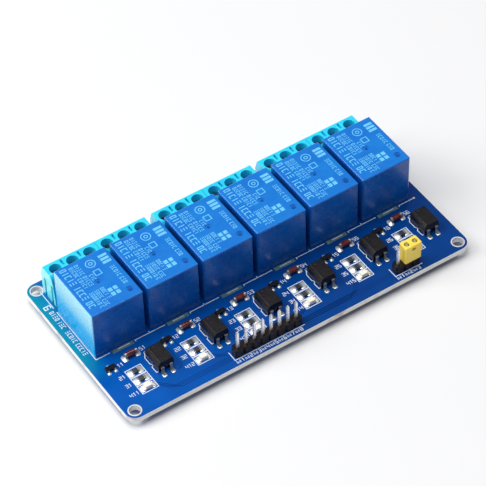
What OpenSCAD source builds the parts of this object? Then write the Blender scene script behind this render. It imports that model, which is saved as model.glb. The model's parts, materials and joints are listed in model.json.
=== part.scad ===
// Six-channel relay module board.
// Millimetres, +Z up. The origin is the centre of the four mounting holes on the
// underside of the bare board. X runs along the row of relays, +Y points to the
// wire entries of the screw terminals.

/* [Board] */
// Length of the circuit board along the row of relays
board_length = 104.6; // [103.8:0.2:116]
// Width of the circuit board from header edge to terminal edge
board_width = 53; // [52.6:0.2:60]
// Thickness of the bare board
board_thickness = 1.6; // [1.2:0.2:2.4]
// Radius of the board's four corners
board_corner_radius = 3; // [1:0.5:3.5]
// Diameter of the four mounting holes
mounting_hole_diameter = 3.1; // [2.4:0.1:3.2]
// Distance from a short board edge to the mounting holes
mounting_hole_inset_x = 2.6; // [2.3:0.1:2.7]
// Distance from a long board edge to the mounting holes
mounting_hole_inset_y = 2.6; // [2.3:0.1:2.7]
// Extra diameter of a drilled hole over the widest diagonal of its pin
drill_clearance = 0.2; // [0.1:0.05:0.3]
// Gap round a part that is pressed or slid into another
fit_clearance = 0.05; // [0.02:0.01:0.08]

/* [Channels] */
// Share of the board length left over by the relays that one gap between two takes
relay_gap_share = 0.0933; // [0.08:0.0001:0.11]
// Offset of the relay row from the middle of the board, towards +X
relay_row_shift = -0.25; // [-0.4:0.05:0.3]
// Distance from the header edge of the board to the relay fronts
relay_setback = 22.5; // [22:0.1:22.8]

/* [Relays] */
// Width of a relay case, along the row
relay_width = 15.2; // [14.8:0.1:15.6]
// Depth of a relay case, from front to terminal side
relay_depth = 18.7; // [18.5:0.1:19.2]
// Height of a relay case above the board
relay_height = 15.5; // [15:0.1:20]
// Wall of the relay case
relay_wall = 0.8; // [0.6:0.05:0.9]
// Top wall of the relay case
relay_roof = 1; // [0.8:0.1:1.2]
// Radius of the upright edges of the relay case
relay_edge_radius = 0.6; // [0.3:0.05:0.9]
// Radius of the top edges of the relay case
relay_top_radius = 0.4; // [0.2:0.05:0.6]
// Thickness of the base plate that closes the relay
relay_base_thickness = 1.5; // [1:0.1:2]
// Height of the base plate above the board
relay_base_recess = 0.4; // [0.2:0.1:0.6]
// Thickness of a relay pin
relay_pin_thickness = 0.5; // [0.4:0.05:0.6]
// Width of a relay pin
relay_pin_width = 1; // [0.8:0.05:1.1]
// Distance from the side of a relay case to its coil pins and contact pins
relay_pin_inset = 1.6; // [1.5:0.05:1.7]
// Distance from the common pin to the coil pins
relay_coil_pin_offset = 2; // [1.8:0.1:2.4]
// Distance from the common pin to the contact pins
relay_contact_pin_offset = 14.2; // [13.8:0.1:14.4]
// Length of the relay and terminal pins below the board
pin_tail = 1.8; // [1.4:0.1:2.4]
// Diameter of the gate mark in the middle of the relay top
relay_gate_diameter = 1.7; // [1:0.1:2.4]
// Diameter of the ring round the vent nib on the relay top
relay_vent_diameter = 1.9; // [1.4:0.1:2.4]
// Depth of the marks moulded into the relay tops and the optocouplers
mark_depth = 0.15; // [0.1:0.05:0.4]

/* [Relay mechanism] */
// Diameter of the coil winding
coil_diameter = 8.6; // [7:0.1:9]
// Width of the square bobbin flanges
bobbin_width = 9.4; // [9.2:0.1:9.8]
// Thickness of a bobbin flange
bobbin_flange = 0.8; // [0.6:0.1:1]
// Height of the bobbin between its outer faces
bobbin_height = 8.2; // [7:0.1:8.4]
// Diameter of the iron core
core_diameter = 3.2; // [2.4:0.1:3.6]
// Thickness of the iron yoke and of the armature
yoke_thickness = 1; // [0.8:0.05:1.1]
// Width of the yoke and of the armature
yoke_width = 6.8; // [5:0.1:7.4]
// Open gap between the armature and the core
armature_gap = 0.3; // [0.2:0.05:0.4]
// Diameter of a silver contact
contact_diameter = 2; // [1.4:0.1:2.4]

/* [Screw terminals] */
// Distance between the poles of a terminal block
pole_pitch = 5.08; // [5:0.02:5.1]
// Width of one three-pole block
terminal_width = 15.3; // [15.2:0.05:15.7]
// Depth of a terminal block on the board
terminal_depth = 6.8; // [6.6:0.05:6.9]
// Height of a terminal block
terminal_height = 10; // [9.6:0.1:12]
// How far the face on the relay side leans back over the full height
terminal_front_lean = 1.3; // [0.8:0.1:1.5]
// How far the wire face leans in above its upright part
terminal_back_lean = 0.9; // [0.5:0.1:1.2]
// Height of the upright part of the wire face
terminal_upright = 7; // [6:0.1:8]
// Radius of the shoulder on the relay side
terminal_shoulder_radius = 2; // [1:0.1:2.4]
// Gap between the relays and the terminal blocks
relay_terminal_gap = 1.5; // [1.2:0.1:1.7]
// Gap between two blocks that are joined as a pair
terminal_joint_gap = 0.1; // [0.05:0.01:0.15]
// Distance from the relay side of a block to its screws
screw_setback = 3.5; // [3.4:0.05:3.6]
// Diameter of the well over each screw
screw_well_diameter = 3.3; // [3.2:0.05:3.5]
// Diameter of a screw head
screw_head_diameter = 3; // [2.6:0.1:3.1]
// Height of a screw head
screw_head_height = 1.6; // [1.2:0.1:1.8]
// Diameter of a screw's shank
screw_diameter = 2.5; // [2:0.1:2.5]
// Length of a screw under its head
screw_length = 3.6; // [3:0.1:3.9]
// Width of a clamp, along the row
clamp_width = 3.6; // [3.4:0.05:3.7]
// Depth of a clamp, along the wire
clamp_depth = 3.2; // [3:0.05:3.3]
// Height of a clamp
clamp_height = 5.2; // [5:0.1:5.6]
// Thickness of a clamp's floor
clamp_floor = 0.6; // [0.5:0.05:0.7]
// Thickness of a clamp's threaded top
clamp_top = 1.6; // [1.2:0.1:1.8]
// Height of the clamps above the board
clamp_lift = 0.5; // [0.3:0.1:0.7]
// Width of a wire entry
wire_entry_width = 3.4; // [2.8:0.1:3.6]
// Height of a wire entry
wire_entry_height = 3.2; // [2.8:0.1:3.4]
// Flare of the wire entry at the outer face
wire_entry_flare = 0.4; // [0.2:0.05:0.5]
// Width of the slots in the top between the poles
top_slot_width = 0.6; // [0.4:0.05:0.8]
// Depth of the slots in the top between the poles
top_slot_depth = 1; // [0.6:0.1:1.4]
// Width of a terminal pin
terminal_pin_width = 1; // [0.8:0.05:1.1]
// Thickness of a terminal pin
terminal_pin_thickness = 0.8; // [0.6:0.05:0.9]
// Height of a dovetail rib over the end face that carries it
dovetail_height = 0.35; // [0.3:0.05:0.4]
// Width of a dovetail rib at its root
dovetail_root = 0.7; // [0.5:0.05:0.8]
// How far a dovetail rib flares on each side
dovetail_flare = 0.12; // [0.08:0.02:0.2]
// Length of a dovetail rib from the foot of the block up
dovetail_length = 6; // [4:0.5:7]

/* [Optocouplers] */
// Width of an optocoupler body, along the row
coupler_width = 4.6; // [4.2:0.1:4.8]
// Length of an optocoupler body between its two rows of leads
coupler_length = 6.5; // [6:0.1:6.8]
// Height of an optocoupler above the board
coupler_height = 3.6; // [3:0.1:4]
// Gap beneath an optocoupler body
coupler_standoff = 0.2; // [0.1:0.05:0.3]
// Bevel along the marked top edge of an optocoupler
coupler_bevel = 0.75; // [0.4:0.05:0.9]
// Distance between the leads of an optocoupler
coupler_lead_pitch = 2.54; // [2.4:0.02:2.6]
// Width of an optocoupler lead
coupler_lead_width = 0.9; // [0.6:0.05:1.2]
// Thickness of an optocoupler lead
coupler_lead_thickness = 0.25; // [0.15:0.05:0.35]
// Reach of an optocoupler lead beyond the body
coupler_lead_reach = 1.45; // [1.3:0.05:1.7]
// Offset of the optocoupler from the middle of its relay
coupler_offset = 5.15; // [4.9:0.05:5.3]
// Distance from the relay front to the middle of the optocoupler
coupler_setback = 10.1; // [9.8:0.05:10.3]

/* [Transistors and diodes] */
// Width of a transistor body, along the row
transistor_width = 2.9; // [2.7:0.05:3.1]
// Depth of a transistor body
transistor_depth = 1.3; // [1.2:0.05:1.5]
// Height of a transistor above the board
transistor_height = 1.05; // [0.9:0.05:1.3]
// Distance between a transistor's two front leads
transistor_lead_pitch = 1.9; // [1.7:0.05:2]
// Width of a transistor lead
transistor_lead_width = 0.42; // [0.3:0.02:0.5]
// Thickness of a transistor lead
transistor_lead_thickness = 0.14; // [0.1:0.02:0.2]
// Reach of a transistor lead beyond the body
transistor_lead_reach = 0.7; // [0.5:0.05:0.8]
// Offset of the transistor from the middle of its relay
transistor_offset = -6.35; // [-6.5:0.05:-6.2]
// Distance from the relay front to the middle of the transistor
transistor_setback = 5.3; // [5:0.05:5.6]
// Diameter of a diode's glass tube
diode_diameter = 1.6; // [1.3:0.05:1.8]
// Overall length of a diode
diode_length = 3.6; // [3.2:0.1:3.8]
// Length of a diode's end cap
diode_cap_length = 0.55; // [0.4:0.05:0.7]
// Wall by which an end cap stands over the glass
diode_cap_wall = 0.06; // [0.04:0.01:0.1]
// Offset of the diode from the middle of its relay
diode_offset = 0.2; // [0:0.05:0.4]
// Distance from the relay front to the middle of the diode
diode_setback = 4.2; // [4:0.05:4.5]

/* [Resistors and indicators] */
// Offset of the resistors and the indicator from the middle of their relay
chip_column_offset = -1.6; // [-1.8:0.05:-1.5]
// Distance from the relay front to the first resistor
chip_setback = 9.4; // [9.2:0.05:9.6]
// Distance from one row of chips to the next
chip_row_pitch = 2.95; // [2.7:0.05:3]
// Length of a chip resistor
resistor_length = 2.1; // [1.9:0.05:2.4]
// Width of a chip resistor
resistor_width = 1.3; // [1.1:0.05:1.5]
// Height of a chip resistor
resistor_height = 0.5; // [0.4:0.05:0.7]
// Length of a chip resistor's metal end
resistor_end = 0.4; // [0.3:0.05:0.5]
// Wall by which a metal end stands over the resistor
resistor_end_wall = 0.03; // [0.02:0.01:0.05]
// Length of an indicator light
led_length = 3.2; // [2.8:0.1:3.4]
// Width of an indicator light
led_width = 1.6; // [1.4:0.05:1.8]
// Thickness of an indicator's carrier
led_base_thickness = 0.35; // [0.25:0.05:0.45]
// Overall height of an indicator
led_height = 1.1; // [0.9:0.05:1.4]
// Length of an indicator's lens at its foot
led_lens_length = 2.1; // [1.8:0.1:2.3]

/* [Pin headers] */
// Distance between the pins of a header
header_pitch = 2.54; // [2.5:0.02:2.56]
// Width and height of a header's plastic strip
header_strip = 2.5; // [2.3:0.05:2.6]
// Chamfer of each plastic cell
header_chamfer = 0.4; // [0.2:0.05:0.6]
// Side of a square header pin
header_pin_side = 0.64; // [0.6:0.01:0.66]
// Height of a header pin above the board
header_pin_height = 8.3; // [8:0.1:9]
// Length of a header pin below the board
header_pin_tail = 1.3; // [1:0.1:1.4]
// Distance from the header edge of the board to both headers
header_setback = 3.5; // [3.2:0.05:3.7]
// Offset of the eight-pin header from the middle of the board
input_header_offset = -9.7; // [-10.2:0.1:-9]
// Distance from the +X edge of the board to the middle of the three-pin header
jumper_header_inset = 18.7; // [18:0.1:19.1]

/* [Jumper] */
// Width of the jumper cap, along the row
jumper_width = 5.1; // [4.9:0.05:5.2]
// Depth of the jumper cap
jumper_depth = 3; // [2.6:0.05:3.1]
// Height of the jumper cap
jumper_height = 5.6; // [5.2:0.1:6]
// Wall of the jumper cap at its short sides
jumper_wall = 0.45; // [0.35:0.05:0.55]
// Roof of the jumper cap
jumper_roof = 0.7; // [0.5:0.05:0.9]
// Diameter of the two round openings in the roof
jumper_opening_diameter = 1.5; // [1.3:0.05:1.7]
// Diameter of the probe hole in the front of the cap
jumper_probe_diameter = 1.1; // [0.8:0.05:1.2]
// Gap between the cap and the plastic strip beneath it
jumper_lift = 0.1; // [0.05:0.05:0.3]
// Sheet thickness of the contact spring
spring_thickness = 0.2; // [0.15:0.05:0.25]
// Height of the contact spring
spring_height = 4.2; // [3.6:0.1:4.4]

/* [Solder] */
// Height of a solder cone beneath the board
solder_height = 0.9; // [0.6:0.05:1]
// How far the foot of a solder cone reaches beyond its drilled hole
solder_land = 0.45; // [0.3:0.05:0.6]

/* [Hidden] */
$fn = 32;

// Structure that the node names above spell out
channels = 6;
poles = 3;
input_pins = 8;
jumper_pins = 3;

// Small overlap that lets a cut run past a face
past = 0.5;

// Places on the board
board_top = board_thickness;
front_edge = -board_width / 2;
relay_front = front_edge + relay_setback;
relay_middle = relay_front + relay_depth / 2;
terminal_front = relay_front + relay_depth + relay_terminal_gap;
header_line = front_edge + header_setback;
jumper_header_offset = board_length / 2 - jumper_header_inset;
channel_pitch = relay_width + (board_length - channels * relay_width) * relay_gap_share;
mounting_hole_x = board_length / 2 - mounting_hole_inset_x;
mounting_hole_y = board_width / 2 - mounting_hole_inset_y;

// Middle of relay i, counted from 1, and of the terminal block behind it
function relay_x(i) = (i - (channels + 1) / 2) * channel_pitch + relay_row_shift;
function pair_x(i) = (floor((i - 1) / 2) - 1) * 2 * channel_pitch;
function block_side(i) = (i % 2 == 1) ? -1 : 1;
function terminal_x(i) = pair_x(i) + block_side(i) * (terminal_width + terminal_joint_gap) / 2;
function pole_x(p) = (p - (poles + 1) / 2) * pole_pitch;
function pin_x(p, count) = (p - (count + 1) / 2) * header_pitch;
function diagonal(a, b) = sqrt(a * a + b * b);

// Inside of the relay
relay_cavity_width = relay_width - 2 * relay_wall;
relay_cavity_depth = relay_depth - 2 * relay_wall;
relay_floor = relay_base_recess + relay_base_thickness;
relay_ceiling = relay_height - relay_roof;
relay_pin_span = relay_width - 2 * relay_pin_inset;
common_pin_y = -relay_contact_pin_offset / 2;
coil_pin_y = common_pin_y + relay_coil_pin_offset;
contact_pin_y = relay_contact_pin_offset / 2;
coil_pin_rise = 1.2;
yoke_clearance = 0.35;
yoke_back = common_pin_y + relay_pin_thickness / 2 + yoke_clearance;
bobbin_foot = relay_floor + yoke_thickness;
bobbin_clearance = 0.3;
coil_y = yoke_back + yoke_thickness + bobbin_clearance + bobbin_width / 2;
pole_face_height = 0.5;
pole_face_diameter = core_diameter + 2;
pole_face_top = bobbin_foot + bobbin_height + pole_face_height;
armature_foot = pole_face_top + armature_gap;
leaf_thickness = 0.25;
leaf_width = 3;
contact_setback = 0.6;
contact_y = contact_pin_y - contact_setback;
contact_rivet = 0.9;
contact_top = armature_foot + yoke_thickness + leaf_thickness + contact_rivet / 3;
contact_foot = contact_top - contact_rivet;
contact_blade = 0.45;
contact_travel = 0.6;

// Inside of a terminal
clamp_y = screw_setback - clamp_depth / 2;
clamp_top_z = clamp_lift + clamp_height;
clamp_channel_top = clamp_top_z - clamp_top;
pocket_top = clamp_top_z + fit_clearance;
screw_lift = 0.3;
screw_head_foot = clamp_top_z + screw_lift;
shoulder_slope = atan2(terminal_front_lean, terminal_height);
shoulder_z = terminal_height - terminal_shoulder_radius;
shoulder_y = (terminal_shoulder_radius + shoulder_z * sin(shoulder_slope)) / cos(shoulder_slope);
wire_entry_step = 0.2;
wire_entry_foot = clamp_lift + clamp_floor - wire_entry_step;
dovetail_places = [1.6, 5];

// Pin outlines, and the holes that are drilled for them
relay_drill = diagonal(relay_pin_thickness, relay_pin_width) + drill_clearance;
terminal_drill = diagonal(terminal_pin_width, terminal_pin_thickness) + drill_clearance;
header_drill = diagonal(header_pin_side, header_pin_side) + drill_clearance;

// Jumper: it bridges the second and third pin
jumper_x = jumper_header_offset + header_pitch / 2;
jumper_foot = board_top + header_strip + jumper_lift;
spring_side = header_pin_side / 2 + fit_clearance / 2;

// ---------- shared shapes ----------

module rounded_rectangle(length, width, radius) {
    square([length - 2 * radius, width], center = true);
    square([length, width - 2 * radius], center = true);
    for (x = [-1, 1], y = [-1, 1])
        translate([x * (length / 2 - radius), y * (width / 2 - radius)]) circle(radius);
}

// Upright outline with a flat foot and two round top corners
module round_topped_outline(width, height, radius) {
    translate([-width / 2, 0]) square([width, height - radius]);
    translate([radius - width / 2, 0]) square([width - 2 * radius, height]);
    for (x = [-1, 1])
        translate([x * (width / 2 - radius), height - radius]) circle(radius);
}

// Moulded block: round upright edges and round top edges
module moulded_block(width, depth, height, edge_radius, top_radius) {
    intersection() {
        linear_extrude(height) rounded_rectangle(width, depth, edge_radius);
        along_y(depth + 2 * past) round_topped_outline(width, height, top_radius);
        along_x(width + 2 * past) round_topped_outline(depth, height, top_radius);
    }
}

// Extrudes an XZ outline along Y, or a YZ outline along X, about the middle
module along_y(length) {
    rotate([90, 0, 0]) linear_extrude(length, center = true) children();
}

module along_x(length) {
    rotate([90, 0, 90]) linear_extrude(length, center = true) children();
}

// Box with its middle over the origin and its foot at z = 0
module standing_box(x, y, z) {
    translate([-x / 2, -y / 2, 0]) cube([x, y, z]);
}

// ---------- placing ----------

module at_relay(i) {
    translate([relay_x(i), relay_middle, board_top]) children();
}

module at_terminal(i) {
    translate([terminal_x(i), terminal_front, board_top]) children();
}

module at_driver(i, offset, setback) {
    translate([relay_x(i) + offset, relay_front - setback, board_top]) children();
}

// One child per relay pin, with its middle at the board's level
module at_relay_pins() {
    translate([0, common_pin_y]) rotate(90) children();
    for (x = [-1, 1], y = [coil_pin_y, contact_pin_y])
        translate([x * relay_pin_span / 2, y]) children();
}

module at_terminal_pins() {
    for (p = [1:poles]) translate([pole_x(p), screw_setback]) children();
}

module at_header_pins(offset, count) {
    for (p = [1:count]) translate([offset + pin_x(p, count), header_line]) children();
}

// ---------- circuit board ----------

module circuit_board() {
    color("royalblue") difference() {
        linear_extrude(board_thickness)
            rounded_rectangle(board_length, board_width, board_corner_radius);
        for (x = [-1, 1], y = [-1, 1])
            translate([x * mounting_hole_x, y * mounting_hole_y])
                drilled(mounting_hole_diameter);
        for (i = [1:channels]) {
            translate([relay_x(i), relay_middle]) at_relay_pins() drilled(relay_drill);
            translate([terminal_x(i), terminal_front]) at_terminal_pins() drilled(terminal_drill);
        }
        at_header_pins(input_header_offset, input_pins) drilled(header_drill);
        at_header_pins(jumper_header_offset, jumper_pins) drilled(header_drill);
    }
}

module drilled(diameter) {
    translate([0, 0, -past]) cylinder(h = board_thickness + 2 * past, d = diameter);
}

// ---------- relays ----------

module relay_case() {
    rim_notch_width = 3;
    rim_notch_height = relay_base_recess / 2;
    mark_inset = 0.15;
    color("dodgerblue") difference() {
        moulded_block(relay_width, relay_depth, relay_height, relay_edge_radius, relay_top_radius);
        translate([0, 0, -past])
            standing_box(relay_cavity_width, relay_cavity_depth, relay_ceiling + past);
        // Wash-out notches in the foot of both side walls
        for (y = [-1, 1])
            translate([0, y * relay_depth / 4, -past])
                standing_box(relay_width + 2 * past, rim_notch_width, rim_notch_height + past);
        // Gate mark in the middle, and a ring round the vent nib near a corner
        translate([0, 0, relay_height - mark_depth])
            cylinder(h = mark_depth + past, d = relay_gate_diameter);
        translate([(0.5 - mark_inset) * relay_width, (mark_inset - 0.5) * relay_depth,
                   relay_height - mark_depth]) difference() {
            cylinder(h = mark_depth + past, d = relay_vent_diameter);
            cylinder(h = mark_depth, d = relay_vent_diameter / 2);
        }
    }
}

module relay_base() {
    color("midnightblue") translate([0, 0, relay_base_recess]) difference() {
        standing_box(relay_cavity_width - 2 * fit_clearance,
                     relay_cavity_depth - 2 * fit_clearance, relay_base_thickness);
        at_relay_pins() translate([0, 0, -past])
            standing_box(relay_pin_thickness + fit_clearance, relay_pin_width + fit_clearance,
                         relay_base_thickness + 2 * past);
    }
}

// Five pins: common and coil pins end above the base, the two contact pins run on
// as posts that carry the fixed contacts
module relay_pins() {
    short_top = relay_floor + coil_pin_rise;
    closed_z = contact_top;
    open_z = contact_foot - contact_travel - contact_blade;
    color("silver") {
        translate([0, common_pin_y]) rotate(90) relay_pin(short_top);
        for (x = [-1, 1])
            translate([x * relay_pin_span / 2, coil_pin_y]) relay_pin(short_top);
        contact_post(-1, open_z);
        contact_post(1, closed_z);
    }
}

module relay_pin(top) {
    foot = -board_thickness - pin_tail;
    translate([0, 0, foot])
        standing_box(relay_pin_thickness, relay_pin_width, top - foot);
}

// Blade with a shelf that reaches from the post to the middle of the relay
module contact_post(side, shelf_z) {
    shelf_end = contact_diameter / 2;
    shelf_length = relay_pin_span / 2 + relay_pin_thickness / 2 + shelf_end;
    shelf_middle = (relay_pin_span / 2 + relay_pin_thickness / 2 - shelf_end) / 2;
    shelf_width = contact_pin_y + relay_pin_width / 2 - contact_y + contact_diameter / 2;
    translate([side * relay_pin_span / 2, contact_pin_y]) relay_pin(shelf_z + contact_blade);
    translate([side * shelf_middle, contact_y - contact_diameter / 2 + shelf_width / 2, shelf_z])
        standing_box(shelf_length, shelf_width, contact_blade);
}

module relay_coil() {
    color("peru") difference() {
        translate([0, coil_y, bobbin_foot]) {
            standing_box(bobbin_width, bobbin_width, bobbin_flange);
            cylinder(h = bobbin_height, d = coil_diameter);
            translate([0, 0, bobbin_height - bobbin_flange])
                standing_box(bobbin_width, bobbin_width, bobbin_flange);
        }
        translate([0, coil_y, bobbin_foot - past])
            cylinder(h = bobbin_height + 2 * past, d = core_diameter + 2 * fit_clearance);
    }
}

// L-shaped yoke with the riveted core and its pole face
module relay_yoke() {
    foot_length = coil_y + core_diameter - yoke_back;
    color("lightsteelblue") {
        translate([-yoke_width / 2, yoke_back, relay_floor])
            cube([yoke_width, foot_length, yoke_thickness]);
        translate([-yoke_width / 2, yoke_back, relay_floor])
            cube([yoke_width, yoke_thickness, armature_foot - relay_floor]);
        translate([0, coil_y, relay_floor])
            cylinder(h = pole_face_top - relay_floor, d = core_diameter);
        translate([0, coil_y, pole_face_top - pole_face_height])
            cylinder(h = pole_face_height, d = pole_face_diameter);
    }
}

// Armature on the yoke's edge, with the leaf spring and its contact rivet
module relay_armature() {
    plate_length = coil_y + pole_face_diameter / 2 - yoke_back;
    leaf_length = contact_y + contact_diameter / 2 - yoke_back;
    color("gold") {
        translate([-yoke_width / 2, yoke_back, armature_foot])
            cube([yoke_width, plate_length, yoke_thickness]);
        translate([-leaf_width / 2, yoke_back, armature_foot + yoke_thickness])
            cube([leaf_width, leaf_length, leaf_thickness]);
        translate([0, contact_y, contact_foot]) cylinder(h = contact_rivet, d = contact_diameter);
    }
}

// ---------- screw terminals ----------

// Side view of the housing: upright wire face, leaning relay face, round shoulder
module terminal_outline() {
    tangent = [shoulder_y - terminal_shoulder_radius * cos(shoulder_slope),
               shoulder_z + terminal_shoulder_radius * sin(shoulder_slope)];
    polygon([[0, 0], [terminal_depth, 0], [terminal_depth, terminal_upright],
             [terminal_depth - terminal_back_lean, terminal_height],
             [shoulder_y, terminal_height], [shoulder_y, shoulder_z], tangent]);
    translate([shoulder_y, shoulder_z]) circle(terminal_shoulder_radius);
}

// Plan view of a dovetail, rising towards +X; grow widens it into a groove
module dovetail_outline(grow) {
    root = dovetail_root / 2 + grow;
    polygon([[-past, -root], [0, -root],
             [dovetail_height + grow, -root - dovetail_flare],
             [dovetail_height + grow, root + dovetail_flare],
             [0, root], [-past, root]]);
}

// Funnel from the wire face to the clamp
module wire_entry() {
    inner = clamp_y + clamp_depth - past;
    outer = terminal_depth;
    half = wire_entry_width / 2;
    low = wire_entry_foot;
    high = wire_entry_foot + wire_entry_height;
    lip = outer - wire_entry_flare;
    intersection() {
        linear_extrude(high + wire_entry_flare + past)
            polygon([[-half, inner], [-half, lip], [-half - wire_entry_flare / 2, outer],
                     [-half - wire_entry_flare / 2, outer + past],
                     [half + wire_entry_flare / 2, outer + past],
                     [half + wire_entry_flare / 2, outer], [half, lip], [half, inner]]);
        along_x(2 * wire_entry_width)
            polygon([[inner, low], [lip, low], [outer, low - wire_entry_flare],
                     [outer + past, low - wire_entry_flare],
                     [outer + past, high + wire_entry_flare],
                     [outer, high + wire_entry_flare], [lip, high], [inner, high]]);
    }
}

module terminal_housing() {
    slot_length = 1.9;
    slot_setback = 0.5;
    color("deepskyblue") difference() {
        union() {
            along_x(terminal_width) terminal_outline();
            for (y = dovetail_places)
                translate([terminal_width / 2, y]) linear_extrude(dovetail_length)
                    dovetail_outline(0);
        }
        for (y = dovetail_places)
            translate([-terminal_width / 2, y, -past])
                linear_extrude(dovetail_length + 2 * past) dovetail_outline(fit_clearance);
        for (p = [1:poles]) translate([pole_x(p), 0]) {
            // Pocket for the clamp, open beneath, and the well over the screw
            translate([0, screw_setback, -past])
                standing_box(clamp_width + 2 * fit_clearance, clamp_depth + 2 * fit_clearance,
                             pocket_top + past);
            translate([0, screw_setback, pocket_top - past])
                cylinder(h = terminal_height - pocket_top + 2 * past, d = screw_well_diameter);
            wire_entry();
        }
        for (p = [1:poles - 1])
            translate([(pole_x(p) + pole_x(p + 1)) / 2, terminal_depth - terminal_back_lean
                       - slot_length / 2 - slot_setback, terminal_height - top_slot_depth])
                standing_box(top_slot_width, slot_length, top_slot_depth + past);
    }
}

// Box clamp with a threaded top, and the solder pin that is one piece with it
module terminal_clamp() {
    channel_width = screw_diameter + 2 * fit_clearance;
    channel_foot = clamp_lift + clamp_floor;
    pin_foot = -board_thickness - pin_tail;
    color("gainsboro") difference() {
        union() {
            translate([0, 0, clamp_lift]) standing_box(clamp_width, clamp_depth, clamp_height);
            translate([0, 0, pin_foot])
                standing_box(terminal_pin_width, terminal_pin_thickness, clamp_lift - pin_foot);
        }
        translate([0, 0, channel_foot])
            standing_box(channel_width, clamp_depth + 2 * past, clamp_channel_top - channel_foot);
        translate([0, 0, clamp_channel_top - past])
            cylinder(h = clamp_top + 2 * past, d = screw_diameter + 2 * fit_clearance);
    }
}

module terminal_screw() {
    recess_width = 0.55;
    recess_share = 0.75;
    recess_length = screw_head_diameter * recess_share;
    recess_depth = screw_head_height / 2;
    color("lightgray") translate([0, 0, screw_head_foot]) difference() {
        union() {
            translate([0, 0, -screw_length])
                cylinder(h = screw_length + screw_head_height / 2, d = screw_diameter);
            cylinder(h = screw_head_height, d = screw_head_diameter);
        }
        for (turn = [0, 90])
            rotate(turn) translate([0, 0, screw_head_height - recess_depth])
                standing_box(recess_length, recess_width, recess_depth + past);
    }
}

// ---------- optocouplers ----------

module optocoupler() {
    draft = 0.18;
    half_width = coupler_width / 2;
    half_length = coupler_length / 2;
    seam = (coupler_standoff + coupler_height) / 2;
    mark_diameter = 0.8;
    mark_setback = 1.4 * mark_diameter;
    color("dimgray") difference() {
        intersection() {
            along_y(coupler_length + past)
                polygon([[draft - half_width, coupler_standoff],
                         [half_width - draft, coupler_standoff], [half_width, seam],
                         [half_width - draft, coupler_height],
                         [coupler_bevel - half_width, coupler_height],
                         [draft / 2 - half_width, coupler_height - coupler_bevel],
                         [-half_width, seam]]);
            along_x(coupler_width + past)
                polygon([[draft - half_length, coupler_standoff],
                         [half_length - draft, coupler_standoff], [half_length, seam],
                         [half_length - draft, coupler_height],
                         [draft - half_length, coupler_height], [-half_length, seam]]);
        }
        translate([mark_diameter + coupler_bevel - half_width, half_length - mark_setback,
                   coupler_height - mark_depth])
            cylinder(h = mark_depth + past, d = mark_diameter);
    }
}

// Gull-wing lead in side view: out of the body, down, and a foot on the board
module gull_wing(start, seam, thickness, reach, foot) {
    bend = start + reach - foot;
    chamfer = thickness / 2;
    polygon([[start, seam - thickness / 2], [start, seam + thickness / 2],
             [bend - chamfer, seam + thickness / 2], [bend, seam + thickness / 2 - chamfer],
             [bend, thickness], [start + reach, thickness], [start + reach, 0],
             [bend - thickness + chamfer, 0], [bend - thickness, chamfer],
             [bend - thickness, seam - thickness / 2]]);
}

module optocoupler_leads() {
    foot_share = 0.65;
    foot = coupler_lead_reach * foot_share;
    seam = (coupler_standoff + coupler_height) / 2;
    color("silver") for (x = [-0.5, 0.5], turn = [0, 180])
        rotate(turn) translate([x * coupler_lead_pitch, 0])
            along_x(coupler_lead_width)
                gull_wing(coupler_length / 2, seam, coupler_lead_thickness,
                          coupler_lead_reach, foot);
}

// ---------- transistors and diodes ----------

module transistor() {
    draft = 0.12;
    foot = transistor_lead_thickness / 2;
    half_width = transistor_width / 2;
    half_depth = transistor_depth / 2;
    seam = (foot + transistor_height) / 2;
    color("black") intersection() {
        along_y(transistor_depth + past)
            polygon([[draft - half_width, foot], [half_width - draft, foot], [half_width, seam],
                     [half_width - draft, transistor_height],
                     [draft - half_width, transistor_height], [-half_width, seam]]);
        along_x(transistor_width + past)
            polygon([[draft - half_depth, foot], [half_depth - draft, foot], [half_depth, seam],
                     [half_depth - draft, transistor_height],
                     [draft - half_depth, transistor_height], [-half_depth, seam]]);
    }
}

// Two leads towards the header edge and one towards the relay
module transistor_leads() {
    foot = transistor_lead_reach / 2;
    seam = (transistor_lead_thickness / 2 + transistor_height) / 2;
    color("silver") for (lead = [[0, 0], [-0.5, 180], [0.5, 180]])
        rotate(lead[1]) translate([lead[0] * transistor_lead_pitch, 0])
            along_x(transistor_lead_width)
                gull_wing(transistor_depth / 2, seam, transistor_lead_thickness,
                          transistor_lead_reach, foot);
}

module diode_axis() {
    translate([0, 0, diode_diameter / 2 + diode_cap_wall]) rotate([0, 90, 0]) children();
}

module diode_glass() {
    color("firebrick") diode_axis()
        cylinder(h = diode_length - 2 * diode_cap_length, d = diode_diameter, center = true);
}

module diode_caps() {
    cap_x = (diode_length - diode_cap_length) / 2;
    color("silver") diode_axis() for (side = [-1, 1])
        translate([0, 0, side * cap_x])
            cylinder(h = diode_cap_length, d = diode_diameter + 2 * diode_cap_wall, center = true);
}

// ---------- resistors and indicators ----------

module at_chip(i, row) {
    at_driver(i, chip_column_offset, chip_setback + row * chip_row_pitch) children();
}

module resistor() {
    color("black") translate([0, 0, resistor_end_wall])
        standing_box(resistor_length - 2 * resistor_end, resistor_width, resistor_height);
}

module resistor_ends() {
    color("silver") for (side = [-1, 1])
        translate([side * (resistor_length - resistor_end) / 2, 0])
            standing_box(resistor_end, resistor_width + 2 * resistor_end_wall,
                         resistor_height + 2 * resistor_end_wall);
}

// Carrier with a half-round notch in each end
module led_base() {
    color("ivory") difference() {
        standing_box(led_length, led_width, led_base_thickness);
        for (side = [-1, 1])
            translate([side * led_length / 2, 0, -past])
                cylinder(h = led_base_thickness + 2 * past, d = led_width / 3);
    }
}

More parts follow.
